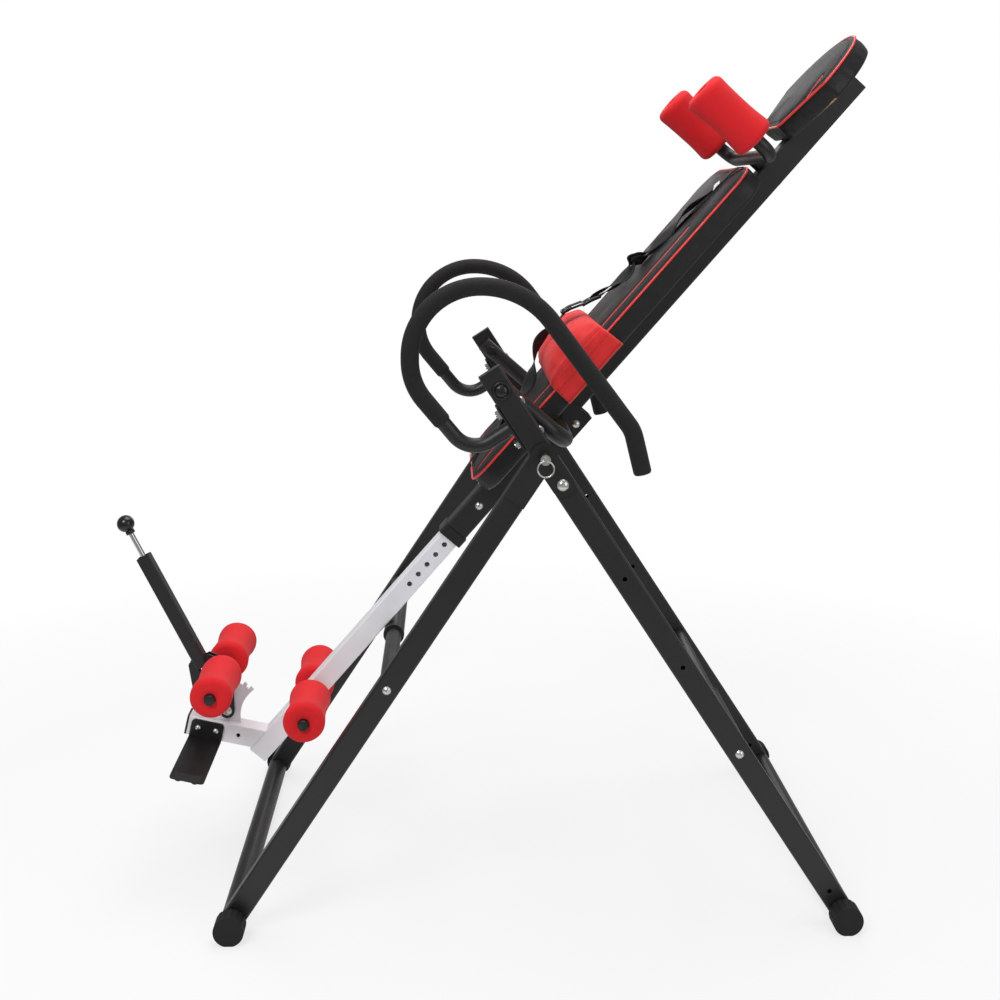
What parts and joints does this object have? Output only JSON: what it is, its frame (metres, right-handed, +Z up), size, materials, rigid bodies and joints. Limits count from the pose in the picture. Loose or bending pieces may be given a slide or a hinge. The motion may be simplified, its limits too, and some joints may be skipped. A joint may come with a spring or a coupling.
{
  "type": "inversion table",
  "caption": "Folding A-frame inversion table with a padded tilting bed, hoop handlebars, shoulder and ankle foam rollers and a lever-operated ankle clamp.",
  "frame": {"origin": "On the floor, under the middle of the whole machine's box.", "axes": "+Z is up; +X points to the head end of the bed; Y runs across the machine, with the left side at -Y."},
  "size_m": [1.3804, 0.7106, 1.5494],
  "materials": {
    "black_frame": "satin black powder coat",
    "white_frame": "pale grey powder coat",
    "rubber": "matt black moulded rubber",
    "black_plastic": "fine-grained black moulding",
    "black_foam": "closed-cell black foam",
    "red_foam": "closed-cell red foam",
    "zinc": "bright zinc plate",
    "chrome": "polished chrome",
    "vinyl": "dark grey grained vinyl",
    "red_fabric": "stitched red cloth",
    "webbing": "black woven webbing",
    "plywood": "bare plywood"
  },
  "bodies": {
    "rear_frame": {"rear_leg_left": "black_frame", "rear_leg_right": "black_frame", "rear_floor_tube": "black_frame", "rear_foot_caps": "rubber", "pillar_caps": "black_plastic", "handlebar_left": "black_frame", "handlebar_right": "black_frame", "handle_plates": "black_frame", "grip_foams": "black_foam", "frame_bolts": "zinc", "stop_bar_sleeve": "black_frame", "stop_bar_rod": "black_frame", "pivot_bolts": "black_plastic", "hinge_bolts": "zinc"},
    "front_frame": {"front_leg_left": "black_frame", "front_leg_right": "black_frame", "front_floor_tube": "black_frame", "front_foot_caps": "rubber", "hinge_plates": "black_frame", "rest_bar_sleeve": "black_frame", "rest_bar_rod": "black_frame", "rest_bar_bolts": "zinc"},
    "lock_left": {"lock_pin_left": "zinc"},
    "lock_right": {"lock_pin_right": "zinc"},
    "ring_left": {"pull_ring_left": "zinc"},
    "ring_right": {"pull_ring_right": "zinc"},
    "bed": {"pivot_arms": "black_frame", "pivot_bushes": "black_plastic", "arm_saddle": "black_frame", "bed_bolts": "zinc", "bed_tube": "black_frame", "tube_collar": "black_plastic", "tube_end_plug": "black_plastic", "pad_boards": "plywood", "back_cushion": "vinyl", "head_cushion": "vinyl", "shoulder_bar": "black_frame", "shoulder_rollers": "red_foam", "lumbar_pad": "red_fabric", "lumbar_strap": "webbing", "strap_buckle": "black_plastic", "boom_pin_housing": "black_plastic", "boom_pin_spring": "zinc"},
    "boom_lock": {"boom_pin": "black_plastic"},
    "boom": {"boom_tube": "white_frame", "foot_tube": "white_frame", "foot_tube_cap": "black_plastic", "ratchet_quadrant": "white_frame", "foot_platforms": "black_frame", "foot_bolts": "zinc", "rear_ankle_axle": "black_frame", "rear_ankle_rollers": "red_foam"},
    "ankle_clamp": {"clamp_plates": "black_frame", "lever_tube": "black_frame", "front_ankle_axle": "black_frame", "front_ankle_rollers": "red_foam", "release_spring": "zinc"},
    "release": {"release_rod": "chrome", "lever_knob": "black_plastic"}
  },
  "joints": [
    {"name": "bed_tilt", "type": "hinge", "parent": "rear_frame", "child": "bed", "pos_m": [0.01614, 0, 0.93779], "axis": [0, 1, 0], "range_deg": [0, 91.3]},
    {"name": "boom_slide", "type": "slide", "parent": "bed", "child": "boom", "axis": [0.6552, 0, 0.7555], "range_m": [-0.05, 0.125]},
    {"name": "boom_pin_lock", "type": "slide", "parent": "bed", "child": "boom_lock", "axis": [0, -1, 0], "range_m": [0, 0.008]},
    {"name": "ankle_clamp_turn", "type": "hinge", "parent": "boom", "child": "ankle_clamp", "pos_m": [-0.49156, 0, 0.27462], "axis": [0, 1, 0], "range_deg": [0, 54]},
    {"name": "release_lock", "type": "slide", "parent": "ankle_clamp", "child": "release", "axis": [0.4478, 0, -0.8942], "range_m": [0, 0.006]},
    {"name": "frame_fold", "type": "hinge", "parent": "rear_frame", "child": "front_frame", "pos_m": [0.11851, 0, 0.7813], "axis": [0, -1, 0], "range_deg": [0, 63]},
    {"name": "lock_left_slide", "type": "slide", "parent": "front_frame", "child": "lock_left", "axis": [0, 1, 0], "range_m": [0, 0.007]},
    {"name": "lock_right_slide", "type": "slide", "parent": "front_frame", "child": "lock_right", "axis": [0, -1, 0], "range_m": [0, 0.007]},
    {"name": "ring_left_swing", "type": "hinge", "parent": "lock_left", "child": "ring_left", "pos_m": [0.08731, -0.3508, 0.829], "axis": [-1, 0, 0], "range_deg": [0, 100]},
    {"name": "ring_right_swing", "type": "hinge", "parent": "lock_right", "child": "ring_right", "pos_m": [0.08731, 0.3508, 0.829], "axis": [1, 0, 0], "range_deg": [0, 100]}
  ]
}
